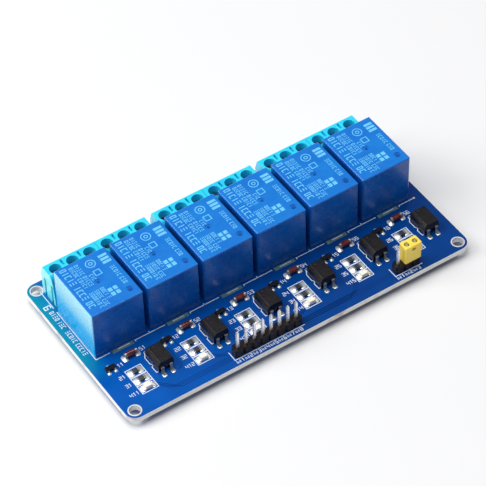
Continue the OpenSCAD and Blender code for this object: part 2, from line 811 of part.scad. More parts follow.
module led_lens() {
    draft = 0.2;
    half = led_lens_length / 2;
    color("lemonchiffon") intersection() {
        along_y(led_width)
            polygon([[-half, led_base_thickness], [half, led_base_thickness],
                     [half - draft, led_height], [draft - half, led_height]]);
        along_x(led_lens_length)
            polygon([[-led_width / 2, led_base_thickness], [led_width / 2, led_base_thickness],
                     [(led_width - draft) / 2, led_height],
                     [-(led_width - draft) / 2, led_height]]);
    }
}

// ---------- pin headers and jumper ----------

// Row of chamfered cells with a square hole through each
module header_strip(count) {
    corner = header_strip / 2 - header_chamfer;
    cell = header_pitch / 2;
    color("black") difference() {
        linear_extrude(header_strip) for (p = [1:count]) translate([pin_x(p, count), 0])
            polygon([[-cell, -corner], [header_chamfer - cell, -header_strip / 2],
                     [cell - header_chamfer, -header_strip / 2], [cell, -corner],
                     [cell, corner], [cell - header_chamfer, header_strip / 2],
                     [header_chamfer - cell, header_strip / 2], [-cell, corner]]);
        for (p = [1:count]) translate([pin_x(p, count), 0, -past])
            standing_box(header_pin_side + fit_clearance, header_pin_side + fit_clearance,
                         header_strip + 2 * past);
    }
}

// Square pin with a bevelled tip at both ends
module header_pin() {
    bevel = 0.2;
    tip = 0.5;
    half = header_pin_side / 2;
    foot = -board_thickness - header_pin_tail;
    color("whitesmoke") intersection() {
        along_x(header_pin_side) header_pin_outline(half, bevel, tip, foot);
        along_y(header_pin_side) header_pin_outline(half, bevel, tip, foot);
    }
}

module header_pin_outline(half, bevel, tip, foot) {
    polygon([[bevel - half, foot], [half - bevel, foot], [half, foot + tip],
             [half, header_pin_height - tip], [half - bevel, header_pin_height],
             [bevel - half, header_pin_height], [-half, header_pin_height - tip],
             [-half, foot + tip]]);
}

module jumper_cap() {
    cavity_length = jumper_width - 2 * jumper_wall;
    cavity_depth = 2 * (spring_side + spring_thickness + fit_clearance);
    edge_radius = 0.35;
    probe_z = jumper_height - jumper_roof - jumper_probe_diameter / 2;
    color("gold") translate([jumper_x, header_line, jumper_foot]) difference() {
        moulded_block(jumper_width, jumper_depth, jumper_height, edge_radius, edge_radius / 2);
        translate([0, 0, -past])
            standing_box(cavity_length, cavity_depth, jumper_height - jumper_roof + past);
        for (side = [-1, 1])
            translate([side * header_pitch / 2, 0, jumper_height - jumper_roof - past])
                cylinder(h = jumper_roof + 2 * past, d = jumper_opening_diameter);
        translate([0, -jumper_depth / 4, probe_z]) rotate([90, 0, 0])
            cylinder(h = jumper_depth, d = jumper_probe_diameter, center = true);
    }
}

// H-shaped spring: a leaf along each side of the two pins, joined between them
module jumper_spring() {
    leaf_length = jumper_width - 2 * jumper_wall - 2 * fit_clearance;
    bridge = (header_pitch - header_pin_side) / 2;
    spring_foot = jumper_height - jumper_roof - spring_height;
    color("goldenrod") translate([jumper_x, header_line, jumper_foot + spring_foot]) {
        for (side = [-1, 1])
            translate([0, side * (spring_side + spring_thickness / 2), 0])
                standing_box(leaf_length, spring_thickness, spring_height);
        standing_box(bridge, 2 * spring_side, spring_height);
    }
}

// ---------- solder ----------

// Cone beneath the board, hollow where the pin passes through it. Its side falls in
// from the foot to a waist, and on to a thin skin round the pin
module solder_joint(drill, pin_a, pin_b) {
    skin = 0.05;
    foot = drill / 2 + solder_land;
    tip = diagonal(pin_a, pin_b) / 2 + skin;
    shoulder_share = 0.3;
    waist_share = 0.7;
    shoulder = foot + (tip - foot) * shoulder_share / 2;
    waist = tip + (foot - tip) * (1 - waist_share) / 2;
    color("silver") difference() {
        rotate_extrude()
            polygon([[0, 0], [foot, 0], [shoulder, -solder_height * shoulder_share],
                     [waist, -solder_height * waist_share], [tip, -solder_height],
                     [0, -solder_height]]);
        translate([0, 0, -solder_height - past])
            standing_box(pin_a, pin_b, solder_height + 2 * past);
    }
}

module solder_joints() {
    for (i = [1:channels]) {
        translate([relay_x(i), relay_middle]) at_relay_pins()
            solder_joint(relay_drill, relay_pin_thickness, relay_pin_width);
        translate([terminal_x(i), terminal_front]) at_terminal_pins()
            solder_joint(terminal_drill, terminal_pin_width, terminal_pin_thickness);
    }
    at_header_pins(input_header_offset, input_pins)
        solder_joint(header_drill, header_pin_side, header_pin_side);
    at_header_pins(jumper_header_offset, jumper_pins)
        solder_joint(header_drill, header_pin_side, header_pin_side);
}

// ---------- nodes ----------

circuit_board();
at_relay(1) relay_case();  // relay_case_1
at_relay(2) relay_case();  // relay_case_2
at_relay(3) relay_case();  // relay_case_3
at_relay(4) relay_case();  // relay_case_4
at_relay(5) relay_case();  // relay_case_5
at_relay(6) relay_case();  // relay_case_6
at_relay(1) relay_base();  // relay_base_1
at_relay(2) relay_base();  // relay_base_2
at_relay(3) relay_base();  // relay_base_3
at_relay(4) relay_base();  // relay_base_4
at_relay(5) relay_base();  // relay_base_5
at_relay(6) relay_base();  // relay_base_6
at_relay(1) relay_pins();  // relay_pins_1
at_relay(2) relay_pins();  // relay_pins_2
at_relay(3) relay_pins();  // relay_pins_3
at_relay(4) relay_pins();  // relay_pins_4
at_relay(5) relay_pins();  // relay_pins_5
at_relay(6) relay_pins();  // relay_pins_6
for (i = [1:channels]) at_relay(i) relay_coil();  // relay_coils
for (i = [1:channels]) at_relay(i) relay_yoke();  // relay_yokes
for (i = [1:channels]) at_relay(i) relay_armature();  // relay_armatures
at_terminal(1) terminal_housing();  // terminal_housing_1
at_terminal(2) terminal_housing();  // terminal_housing_2
at_terminal(3) terminal_housing();  // terminal_housing_3
at_terminal(4) terminal_housing();  // terminal_housing_4
at_terminal(5) terminal_housing();  // terminal_housing_5
at_terminal(6) terminal_housing();  // terminal_housing_6
for (i = [1:channels]) at_terminal(i) at_terminal_pins() terminal_clamp();  // terminal_clamps
for (i = [1:channels]) at_terminal(i) at_terminal_pins() terminal_screw();  // terminal_screws
at_driver(1, coupler_offset, coupler_setback) optocoupler();  // optocoupler_1
at_driver(2, coupler_offset, coupler_setback) optocoupler();  // optocoupler_2
at_driver(3, coupler_offset, coupler_setback) optocoupler();  // optocoupler_3
at_driver(4, coupler_offset, coupler_setback) optocoupler();  // optocoupler_4
at_driver(5, coupler_offset, coupler_setback) optocoupler();  // optocoupler_5
at_driver(6, coupler_offset, coupler_setback) optocoupler();  // optocoupler_6
for (i = [1:channels]) at_driver(i, coupler_offset, coupler_setback) optocoupler_leads();
for (i = [1:channels]) at_driver(i, transistor_offset, transistor_setback) transistor();  // transistors
for (i = [1:channels])
        at_driver(i, transistor_offset, transistor_setback) transistor_leads();
for (i = [1:channels]) at_driver(i, diode_offset, diode_setback) diode_glass();  // diode_glasses
for (i = [1:channels]) at_driver(i, diode_offset, diode_setback) diode_caps();
for (i = [1:channels], row = [0, 1]) at_chip(i, row) resistor();  // resistors
for (i = [1:channels], row = [0, 1]) at_chip(i, row) resistor_ends();
for (i = [1:channels]) at_chip(i, 2) led_base();  // led_bases
for (i = [1:channels]) at_chip(i, 2) led_lens();  // led_lenses
translate([input_header_offset, header_line, board_top]) header_strip(input_pins);  // input_header_strip
at_header_pins(input_header_offset, input_pins) translate([0, 0, board_top]) header_pin();  // input_header_pins
translate([jumper_header_offset, header_line, board_top]) header_strip(jumper_pins);  // jumper_header_strip
at_header_pins(jumper_header_offset, jumper_pins) translate([0, 0, board_top]) header_pin();  // jumper_header_pins
jumper_cap();
jumper_spring();
solder_joints();
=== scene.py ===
"""Six-channel relay module board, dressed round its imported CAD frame. Lengths are in millimetres
until they reach Blender, which works in metres."""

import json
import math
import random

import bpy
from mathutils import Matrix, Vector


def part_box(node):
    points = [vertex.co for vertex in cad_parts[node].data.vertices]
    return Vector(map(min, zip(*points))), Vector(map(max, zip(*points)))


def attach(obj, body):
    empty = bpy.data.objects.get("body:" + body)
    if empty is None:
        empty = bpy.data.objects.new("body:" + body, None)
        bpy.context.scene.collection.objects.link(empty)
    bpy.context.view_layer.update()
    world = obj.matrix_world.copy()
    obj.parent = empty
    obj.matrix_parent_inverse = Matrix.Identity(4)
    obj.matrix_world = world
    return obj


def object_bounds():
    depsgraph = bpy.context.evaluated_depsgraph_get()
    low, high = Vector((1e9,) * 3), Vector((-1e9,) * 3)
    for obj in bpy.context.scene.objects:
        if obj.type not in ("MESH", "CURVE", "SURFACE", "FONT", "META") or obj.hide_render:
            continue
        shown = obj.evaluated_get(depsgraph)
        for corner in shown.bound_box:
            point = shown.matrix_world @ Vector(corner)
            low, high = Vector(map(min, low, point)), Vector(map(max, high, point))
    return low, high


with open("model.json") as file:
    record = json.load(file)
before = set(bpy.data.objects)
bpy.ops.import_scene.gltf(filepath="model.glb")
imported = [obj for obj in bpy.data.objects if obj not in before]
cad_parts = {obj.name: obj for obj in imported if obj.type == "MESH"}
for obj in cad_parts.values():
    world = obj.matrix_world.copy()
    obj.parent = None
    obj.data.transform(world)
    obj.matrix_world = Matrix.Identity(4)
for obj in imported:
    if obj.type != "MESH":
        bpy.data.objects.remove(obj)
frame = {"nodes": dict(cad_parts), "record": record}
cad_box = [list(corner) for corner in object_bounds()]

MM = 0.001
SKIN = 0.03  # height of ink over the surface that it is printed on
HAIR = 0.001  # keeps two faces from lying in one plane
LINE = 0.22  # width of a printed line
BODY = "root"
CHANNELS = range(1, 7)


# ---------- measuring the frame ----------

class Box:
    """A box in millimetres, with its corners, middle and size."""

    def __init__(self, low, high):
        self.low, self.high = Vector(low), Vector(high)
        self.mid = (self.low + self.high) / 2
        self.size = self.high - self.low


def node_box(node):
    low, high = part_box(node)
    return Box(low / MM, high / MM)


def solid_boxes(node):
    """The box of each separate solid in a CAD node, from left to right and front to back."""
    mesh = frame["nodes"][node].data
    keys, parent = {}, []
    index = []
    for vertex in mesh.vertices:
        key = tuple(round(c * 1e6) for c in vertex.co)
        if key not in keys:
            keys[key] = len(parent)
            parent.append(len(parent))
        index.append(keys[key])

    def root(i):
        while parent[i] != i:
            parent[i] = parent[parent[i]]
            i = parent[i]
        return i

    for polygon in mesh.polygons:
        first = root(index[polygon.vertices[0]])
        for v in polygon.vertices[1:]:
            parent[root(index[v])] = first
            first = root(first)
    groups = {}
    for i, vertex in enumerate(mesh.vertices):
        groups.setdefault(root(index[i]), []).append(vertex.co / MM)
    boxes = [Box([min(p[a] for p in group) for a in range(3)],
                 [max(p[a] for p in group) for a in range(3)]) for group in groups.values()]
    return sorted(boxes, key=lambda b: (round(b.mid.x, 2), round(b.mid.y, 2)))


# ---------- materials ----------

SQUARE_ON = 0.7  # cosine of the steepest slope at which a face still counts as facing an axis
PLASTIC_IOR = 1.5
COAT_ROUGHNESS = 0.16


def new_nodes(name):
    material = bpy.data.materials.new(name)
    material.use_nodes = True
    tree = material.node_tree
    shader = tree.nodes["Principled BSDF"]
    return material, tree, shader


def linear(red, green, blue):
    """An 0 to 255 screen colour as the linear colour that shaders use."""
    def channel(v):
        v /= 255
        return v / 12.92 if v <= 0.04045 else ((v + 0.055) / 1.055) ** 2.4
    return channel(red), channel(green), channel(blue), 1.0


def object_point(tree):
    return tree.nodes.new("ShaderNodeTexCoord").outputs["Object"]


def noise(tree, size, detail=3.0, stretch=(1, 1, 1)):
    """Soft noise whose blotches are about size millimetres across."""
    mapping = tree.nodes.new("ShaderNodeMapping")
    mapping.inputs["Scale"].default_value = stretch
    tree.links.new(object_point(tree), mapping.inputs["Vector"])
    texture = tree.nodes.new("ShaderNodeTexNoise")
    texture.inputs["Scale"].default_value = 1 / (size * MM)
    texture.inputs["Detail"].default_value = detail
    tree.links.new(mapping.outputs["Vector"], texture.inputs["Vector"])
    return texture.outputs["Fac"]


def blend_colours(tree, factor, first, second):
    """From first to second as factor goes from 0 to 1. Either may be a colour or a socket."""
    mix = tree.nodes.new("ShaderNodeMix")
    mix.data_type = "RGBA"
    tree.links.new(factor, mix.inputs["Factor"])
    for socket, colour in ((mix.inputs["A"], first), (mix.inputs["B"], second)):
        if isinstance(colour, tuple):
            socket.default_value = colour
        else:
            tree.links.new(colour, socket)
    return mix.outputs["Result"]


def spread(tree, value, low, high, from_low=0.3, from_high=0.7):
    """Maps a noise value onto the range from low to high."""
    node = tree.nodes.new("ShaderNodeMapRange")
    node.inputs["From Min"].default_value = from_low
    node.inputs["From Max"].default_value = from_high
    node.inputs["To Min"].default_value = low
    node.inputs["To Max"].default_value = high
    tree.links.new(value, node.inputs["Value"])
    return node.outputs["Result"]


def add_bump(tree, shader, height, depth, edge=0.0):
    """Bump of that depth in millimetres. An edge rounds the look of sharp edges by that much."""
    bump = tree.nodes.new("ShaderNodeBump")
    bump.inputs["Distance"].default_value = depth * MM
    tree.links.new(height, bump.inputs["Height"])
    if edge:
        bevel = tree.nodes.new("ShaderNodeBevel")
        bevel.samples = 6
        bevel.inputs["Radius"].default_value = edge * MM
        tree.links.new(bevel.outputs["Normal"], bump.inputs["Normal"])
    tree.links.new(bump.outputs["Normal"], shader.inputs["Normal"])


def end_wall(tree, left):
    """1 on the faces that close the left end of a row, at x = left in millimetres."""
    whole, gone = 0.2, 1.0  # how far behind that end a face still counts, and no longer does
    return multiply(tree, facing(tree, "X", -1), along(tree, "X", left + gone, left + whole))


def plastic(name, colour, deep, roughness=(0.28, 0.42), grain=0.25, depth=0.01, edge=0.12,
            blotch=5.0, glow=0.0, coat=0.0, gloss=0.5, lit=None, wall=0.0):
    """Moulded plastic: two close colours, a fine moulded grain and slightly uneven gloss. A lit
    colour is painted light: the end wall at x = wall is painted in it, standing for light
    coming through the plastic."""
    material, tree, shader = new_nodes(name)
    base = blend_colours(tree, spread(tree, noise(tree, blotch), 0, 1), colour, deep)
    if lit:
        base = blend_colours(tree, end_wall(tree, wall), base, lit)
    tree.links.new(base, shader.inputs["Base Color"])
    tree.links.new(spread(tree, noise(tree, blotch / 3), *roughness), shader.inputs["Roughness"])
    shader.inputs["IOR"].default_value = PLASTIC_IOR
    shader.inputs["Specular IOR Level"].default_value = gloss
    shader.inputs["Coat Weight"].default_value = coat
    shader.inputs["Coat Roughness"].default_value = COAT_ROUGHNESS
    if glow:
        shader.inputs["Subsurface Weight"].default_value = glow
        shader.inputs["Subsurface Radius"].default_value = (0.2, 0.7, 1.0)
        shader.inputs["Subsurface Scale"].default_value = 1.2 * MM
    add_bump(tree, shader, noise(tree, grain, 2.0), depth, edge=edge)
    return material


def metal(name, colour, dull, roughness=(0.18, 0.35), grain=0.4, depth=0.01, edge=0.05,
          stretch=(1, 1, 1), shine=1.0):
    """Bare metal with faint patches, a fine uneven surface and varying polish. A shine under 1
    makes it paler and flatter, like dull tin."""
    material, tree, shader = new_nodes(name)
    patches = noise(tree, grain * 4, stretch=stretch)
    tree.links.new(blend_colours(tree, spread(tree, patches, 0, 1), colour, dull),
                   shader.inputs["Base Color"])
    shader.inputs["Metallic"].default_value = shine
    tree.links.new(spread(tree, noise(tree, grain * 2, stretch=stretch), *roughness),
                   shader.inputs["Roughness"])
    add_bump(tree, shader, noise(tree, grain, 2.0, stretch), depth, edge=edge)
    return material


def facing(tree, axis, way=0):
    """1 where the surface faces along that axis and 0 elsewhere. A way of -1 or 1 counts only
    that end of the axis."""
    geometry = tree.nodes.new("ShaderNodeNewGeometry")
    split = tree.nodes.new("ShaderNodeSeparateXYZ")
    tree.links.new(geometry.outputs["True Normal"], split.inputs[0])
    amount = tree.nodes.new("ShaderNodeMath")
    amount.operation = "MULTIPLY" if way else "ABSOLUTE"
    amount.inputs[1].default_value = way
    tree.links.new(split.outputs[axis], amount.inputs[0])
    step = tree.nodes.new("ShaderNodeMath")
    step.operation = "GREATER_THAN"
    step.inputs[1].default_value = SQUARE_ON
    tree.links.new(amount.outputs[0], step.inputs[0])
    return step.outputs[0]


def along(tree, axis, start, end):
    """Runs from 0 to 1 between two places in millimetres along an axis of the frame."""
    split = tree.nodes.new("ShaderNodeSeparateXYZ")
    tree.links.new(object_point(tree), split.inputs[0])
    node = tree.nodes.new("ShaderNodeMapRange")
    node.interpolation_type = "SMOOTHSTEP"
    node.inputs["From Min"].default_value = start * MM
    node.inputs["From Max"].default_value = end * MM
    tree.links.new(split.outputs[axis], node.inputs["Value"])
    return node.outputs["Result"]


def multiply(tree, first, second):
    node = tree.nodes.new("ShaderNodeMath")
    node.operation = "MULTIPLY"
    tree.links.new(first, node.inputs[0])
    tree.links.new(second, node.inputs[1])
    return node.outputs[0]


def board_material(left_edge, relay_front):
    """Blue solder mask over copper on both faces, and layered glass fibre on the cut edges."""
    material, tree, shader = new_nodes("board")
    # Painted light falloff: the mask is painted lighter at its left, nearer the key light, and
    # deeper towards the right
    blue = blend_colours(tree, along(tree, "X", left_edge, left_edge + 75),
                         linear(0, 88, 180), linear(0, 62, 136))
    mask = blend_colours(tree, spread(tree, noise(tree, 9), 0, 0.3), blue, linear(0, 48, 120))
    # and painted light: the left edge beside the relays is painted teal, standing for light
    # falling there from the relays
    painted_teal_light = multiply(tree, along(tree, "X", left_edge + 6.5, left_edge + 0.5),
                    along(tree, "Y", relay_front - 9, relay_front + 3))
    mask = blend_colours(tree, painted_teal_light, mask, linear(0, 134, 164))
    # The cut edge shows thin layers, with greyer stretches
    layers = spread(tree, noise(tree, 0.35, 2.0, (0.15, 0.15, 4)), 0, 1)
    core = blend_colours(tree, layers, linear(252, 252, 250), linear(232, 232, 228))
    core = blend_colours(tree, spread(tree, noise(tree, 5, 2.0), 0, 0.8, 0.56, 0.68), core,
                         linear(196, 186, 186))
    tree.links.new(blend_colours(tree, facing(tree, "Z"), core, mask), shader.inputs["Base Color"])
    tree.links.new(spread(tree, noise(tree, 2.5), 0.16, 0.24), shader.inputs["Roughness"])
    shader.inputs["Specular IOR Level"].default_value = 0.25
    add_bump(tree, shader, noise(tree, 0.8, 2.0), 0.006)
    return material


def relay_plastic(left):
    """Glossy blue case, with painted light and shade: the top is painted brighter and the sides
    deeper, as light falls from above, and the end wall at the left end of the row is painted
    pale cyan, paler towards its top, as painted light through the wall."""
    material, tree, shader = new_nodes("relay_case")
    patches = spread(tree, noise(tree, 5.0), 0, 1)
    # Painted shade on the sides and painted light on the top, as light falls from above
    sides = blend_colours(tree, patches, linear(2, 96, 188), linear(0, 84, 176))
    top = blend_colours(tree, patches, linear(4, 124, 214), linear(0, 112, 206))
    # Painted light on the left end wall: cyan low down, paler near its top
    lit = blend_colours(tree, along(tree, "Z", 6, 17), linear(12, 174, 240),
                        linear(146, 222, 240))
    colour = blend_colours(tree, facing(tree, "Z"), sides, top)
    colour = blend_colours(tree, end_wall(tree, left), colour, lit)
    tree.links.new(colour, shader.inputs["Base Color"])
    tree.links.new(spread(tree, noise(tree, 2.0), 0.22, 0.34), shader.inputs["Roughness"])
    shader.inputs["IOR"].default_value = PLASTIC_IOR
    shader.inputs["Coat Weight"].default_value = 0.25
    shader.inputs["Coat Roughness"].default_value = COAT_ROUGHNESS
    add_bump(tree, shader, noise(tree, 0.6, 2.0), 0.006)
    return material


def ink(name, colour, worn):
    """Matt print, thinner in places."""
    material, tree, shader = new_nodes(name)
    tree.links.new(blend_colours(tree, spread(tree, noise(tree, 0.5), 0, 1), colour, worn),
                   shader.inputs["Base Color"])
    shader.inputs["Roughness"].default_value = 0.55
    add_bump(tree, shader, noise(tree, 0.15), 0.01)
    return material


def glass_material():
    """The red glass of a diode, which shows its die through the wall."""
    material, tree, shader = new_nodes("diode_glass")
    tree.links.new(blend_colours(tree, spread(tree, noise(tree, 0.7), 0, 1),
                                 linear(150, 54, 38), linear(74, 16, 18)),
                   shader.inputs["Base Color"])
    shader.inputs["Roughness"].default_value = 0.08
    shader.inputs["Transmission Weight"].default_value = 0.35
    shader.inputs["Coat Weight"].default_value = 1.0
    shader.inputs["Coat Roughness"].default_value = 0.03
    add_bump(tree, shader, noise(tree, 1.0), 0.01)
    return material


def winding_material():
    """Copper wire wound in fine turns."""
    material, tree, shader = new_nodes("coil_winding")
    wave = tree.nodes.new("ShaderNodeTexWave")
    wave.bands_direction = "Z"
    wave.inputs["Scale"].default_value = 1 / (0.6 * MM)
    tree.links.new(object_point(tree), wave.inputs["Vector"])
    tree.links.new(blend_colours(tree, wave.outputs["Fac"], linear(120, 52, 20),
                                 linear(214, 122, 66)), shader.inputs["Base Color"])
    shader.inputs["Metallic"].default_value = 0.8
    shader.inputs["Roughness"].default_value = 0.35
    add_bump(tree, shader, wave.outputs["Fac"], 0.05)
    return material


def make_materials(board):
    return {
        "board": board_material(board.low.x, node_box("relay_case_1").low.y),
        "relay_case": relay_plastic(node_box("relay_case_1").low.x),
        "relay_base": plastic("relay_base", linear(12, 40, 96), linear(8, 28, 74)),
        # Painted light: the left end wall of the terminal row is painted pale cyan
        "terminal_housing": plastic("terminal_housing", linear(40, 222, 250),
                                    linear(28, 206, 242), (0.25, 0.4), glow=0.2, coat=0.5,
                                    lit=linear(130, 246, 252),
                                    wall=node_box("terminal_housing_1").low.x),
        "tinned_pin": metal("tinned_pin", linear(205, 208, 212), linear(160, 164, 170)),
        "tinned_lead": metal("tinned_lead", linear(204, 208, 214), linear(150, 154, 162),
                             (0.25, 0.4)),
        "solder": metal("solder", linear(252, 252, 244), linear(214, 218, 214), (0.3, 0.5),
                        0.6, 0.03, shine=0.6),
        "ring_tin": metal("ring_tin", linear(238, 238, 240), linear(206, 208, 212),
                          (0.4, 0.6), 0.8, 0.006, shine=0.45),
        "screw": metal("screw", linear(104, 116, 130), linear(62, 74, 90), (0.3, 0.5)),
        "coil_winding": winding_material(),
        "iron": metal("iron", linear(150, 152, 156), linear(110, 112, 118), (0.35, 0.5)),
        "contact_spring": metal("contact_spring", linear(214, 176, 96), linear(180, 140, 70)),
        "coupler_body": plastic("coupler_body", linear(26, 21, 22), linear(12, 9, 12),
                                (0.26, 0.38), 0.35, 0.03, 0.22, 1.6, gloss=0.45),
        "transistor_body": plastic("transistor_body", linear(18, 18, 20), linear(8, 8, 10),
                                   (0.26, 0.38), 0.1, 0.01, 0.1, 0.8, gloss=0.4),
        "diode_glass": glass_material(),
        "resistor_film": plastic("resistor_film", linear(64, 66, 60), linear(36, 38, 36),
                                 (0.3, 0.45), 0.1, 0.01, 0.04),
        "led_carrier": plastic("led_carrier", linear(246, 246, 238), linear(226, 226, 214)),
        "led_lens": plastic("led_lens", linear(254, 252, 240), linear(246, 242, 222),
                            (0.15, 0.3), glow=0.3),
        "header_strip": plastic("header_strip", linear(24, 12, 16), linear(8, 4, 6),
                                (0.28, 0.42), 0.25, 0.03, 0.12, 1.2, gloss=0.3),
        "header_pin": metal("header_pin", linear(250, 250, 252), linear(218, 220, 226),
                            (0.2, 0.35), shine=0.7),
        "jumper_cap": plastic("jumper_cap", linear(255, 228, 96), linear(252, 212, 70),
                              (0.3, 0.45), 0.3, 0.02, 0.0, glow=0.2),
        "silk": ink("silk", linear(236, 242, 250), linear(206, 218, 236)),
        "relay_ink": ink("relay_ink", linear(120, 208, 244), linear(84, 182, 238)),
        "bare_laminate": plastic("bare_laminate", linear(112, 142, 140), linear(66, 98, 106),
                                 edge=0.0, blotch=1.6),
        "masked_track": plastic("masked_track", linear(0, 52, 122), linear(0, 42, 106),
                                (0.16, 0.24), 0.6, 0.006, 0.0, 3.0, gloss=0.25),
        # Painted shade: darker colour standing for the shade in the relay tops' shallow mould
        # dimples
        "painted_dimple_shade": plastic("painted_dimple_shade", linear(2, 84, 170), linear(0, 70, 152),
                                (0.3, 0.4), 0.6, 0.006, 0.0),
    }


# The record's material slot of each kind of CAD node
SLOTS = {
    "circuit_board": "board", "relay_case": "relay_case", "relay_base": "relay_base",
    "relay_pins": "tinned_pin", "relay_coils": "coil_winding", "relay_yokes": "iron",
    "relay_armatures": "contact_spring", "terminal_housing": "terminal_housing",
    "terminal_clamps": "tinned_pin", "terminal_screws": "screw",
    "optocoupler": "coupler_body", "optocoupler_leads": "tinned_lead",
    "transistors": "transistor_body", "transistor_leads": "tinned_lead",
    "diode_glasses": "diode_glass", "diode_caps": "tinned_lead",
    "resistors": "resistor_film", "resistor_ends": "tinned_lead",
    "led_bases": "led_carrier", "led_lenses": "led_lens",
    "input_header_strip": "header_strip", "jumper_header_strip": "header_strip",
    "input_header_pins": "header_pin", "jumper_header_pins": "header_pin",
    "jumper_cap": "jumper_cap", "jumper_spring": "contact_spring", "solder_joints": "solder",
}


def dress_frame(materials):
    """Every CAD node gets the material of its kind."""
    for name, node in frame["nodes"].items():
        slot = SLOTS[name.rstrip("_0123456789")]
        node.data.materials.clear()
        node.data.materials.append(materials[slot])


# ---------- building meshes ----------

class Piece:
    """Gathers faces in millimetres, and becomes one object that rides on the part."""

    def __init__(self):
        self.points, self.faces = [], []

    def add(self, points, faces):
        start = len(self.points)
        self.points += [tuple(p) for p in points]
        self.faces += [tuple(start + i for i in face) for face in faces]

    def prism(self, outline, low, high):
        """Closed upright solid over an outline that runs anticlockwise."""
        n = len(outline)
        points = [(x, y, high) for x, y in outline] + [(x, y, low) for x, y in outline]
        top, bottom = tuple(range(n)), tuple(reversed(range(n, 2 * n)))
        sides = [(i, i + n, (i + 1) % n + n, (i + 1) % n) for i in range(n)]
        self.add(points, [top, bottom] + sides)

    def bar(self, x0, x1, y0, y1, low, high):
        self.prism([(x0, y0), (x1, y0), (x1, y1), (x0, y1)], low, high)

    def stroke(self, path, width, low, high, closed=False):
        """Band of one width along a path, with mitred corners."""
        line = [Vector(p) for p in path]
        n = len(line)
        left, right = [], []
        for i, point in enumerate(line):
            before = line[i - 1] if closed or i else None
            after = line[(i + 1) % n] if closed or i < n - 1 else None
            ways = [(b - a).normalized() for a, b in ((before, point), (point, after))
                    if a is not None and b is not None]
            normals = [Vector((-w.y, w.x)) for w in ways]
            across = sum(normals, Vector((0, 0))).normalized()
            reach = width / 2 / max(0.4, across.dot(normals[0]))
            left.append(point + across * reach)
            right.append(point - across * reach)
        ring = [(p.x, p.y, z) for z in (high, low) for p in left + right]
        last = n if closed else n - 1
        faces = []
        for i in range(last):
            j = (i + 1) % n
            faces.append((i, n + i, n + j, j))
            faces.append((n + i, 3 * n + i, 3 * n + j, n + j))
            faces.append((2 * n + i, i, j, 2 * n + j))
            faces.append((3 * n + i, 2 * n + i, 2 * n + j, 3 * n + j))
        if not closed:
            faces.append((0, 2 * n, 3 * n, n))
            faces.append((n - 1, 2 * n - 1, 4 * n - 1, 3 * n - 1))
        self.add(ring, faces)

    def ring(self, x, y, profile, steps):
        """Turns a closed profile of (radius, z) points round an upright axis."""
        n = len(profile)
        points, faces = [], []
        for k in range(steps):
            turn = 2 * math.pi * k / steps
            points += [(x + r * math.cos(turn), y + r * math.sin(turn), z) for r, z in profile]
            for i in range(n):
                a, b = k * n + i, k * n + (i + 1) % n
                c, d = (k + 1) % steps * n + (i + 1) % n, (k + 1) % steps * n + i
                faces.append((a, b, c, d))
        self.add(points, faces)

    def washer(self, x, y, inner, outer, low, high, steps=24):
        self.ring(x, y, [(inner, low), (outer, low), (outer, high), (inner, high)], steps)

    def disc(self, x, y, radius, low, high):
        steps = 24
        turns = [2 * math.pi * k / steps for k in range(steps)]
        self.prism([(x + radius * math.cos(t), y + radius * math.sin(t)) for t in turns],
                   low, high)

    def blob(self, x, y, length, width, low, rise, peak, lean=0.0):
        """Solder on a rounded pad: a dome of height rise, which climbs by peak where it meets the
        lead. That place is lean, from -1 at the left end of the pad to 1 at its right end."""
        steps = 8
        corner, narrow = 0.3, 2.2  # how round the pad is, and how narrow the climb
        points, faces = [], []
        for i in range(steps + 1):
            for j in range(steps + 1):
                s, t = 2 * i / steps - 1, 2 * j / steps - 1
                px = s * math.sqrt(1 - corner * t * t)
                py = t * math.sqrt(1 - corner * s * s)
                dome = (1 - s ** 4) * (1 - t ** 4)
                near = math.exp(-narrow * ((s - lean) ** 2 + t ** 2))
                points.append((x + px * length / 2, y + py * width / 2,
                               low + dome * rise + dome * near * peak))
        for i in range(steps):
            for j in range(steps):
                a = i * (steps + 1) + j
                faces.append((a, a + steps + 1, a + steps + 2, a + 1))
        self.add(points, faces)

    def make(self, name, material, smooth=False):
        """Turns what was gathered into the object of that name."""
        mesh = bpy.data.meshes.new(name)
        mesh.from_pydata([Vector(p) * MM for p in self.points], [], self.faces)
        mesh.validate()
        mesh.materials.append(material)
        if smooth:
            mesh.shade_smooth()
        piece = bpy.data.objects.new(name, mesh)
        bpy.context.scene.collection.objects.link(piece)
        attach(piece, BODY)


# The digits that are printed, as strokes in a box 1 high, and the pitch from one to the next
DIGIT_WIDTH, DIGIT_PITCH = 0.6, 0.85
DIGITS = {
    "1": [[(0.1, 0.8), (0.35, 1), (0.35, 0)]],
    "2": [[(0, 1), (0.6, 1), (0.6, 0.5), (0, 0.5), (0, 0), (0.6, 0)]],
    "3": [[(0, 1), (0.6, 1), (0.6, 0), (0, 0)], [(0.1, 0.5), (0.6, 0.5)]],
    "4": [[(0, 1), (0, 0.45), (0.6, 0.45)], [(0.6, 1), (0.6, 0)]],
    "5": [[(0.6, 1), (0, 1), (0, 0.5), (0.6, 0.5), (0.6, 0), (0, 0)]],
    "6": [[(0.6, 1), (0, 1), (0, 0), (0.6, 0), (0.6, 0.5), (0, 0.5)]],
    "7": [[(0, 1), (0.6, 1), (0.2, 0)]],
    "8": [[(0, 0), (0.6, 0), (0.6, 1), (0, 1), (0, 0)], [(0, 0.5), (0.6, 0.5)]],
}


def number(piece, text, x, y, height, low, high, turn=0, weight=0.16):
    """Plain number with its middle at (x, y), turned by that many degrees. Its weight is the
    width of a stroke as a part of its height."""
    start = -(DIGIT_PITCH * (len(text) - 1) + DIGIT_WIDTH) / 2
    c, s = math.cos(math.radians(turn)), math.sin(math.radians(turn))
    for k, digit in enumerate(text):
        for line in DIGITS[digit]:
            path = []
            for u, v in line:
                a, b = (start + k * DIGIT_PITCH + u) * height, (v - 0.5) * height
                path.append((x + a * c - b * s, y + a * s + b * c))
            piece.stroke(path, weight * height, low, high)


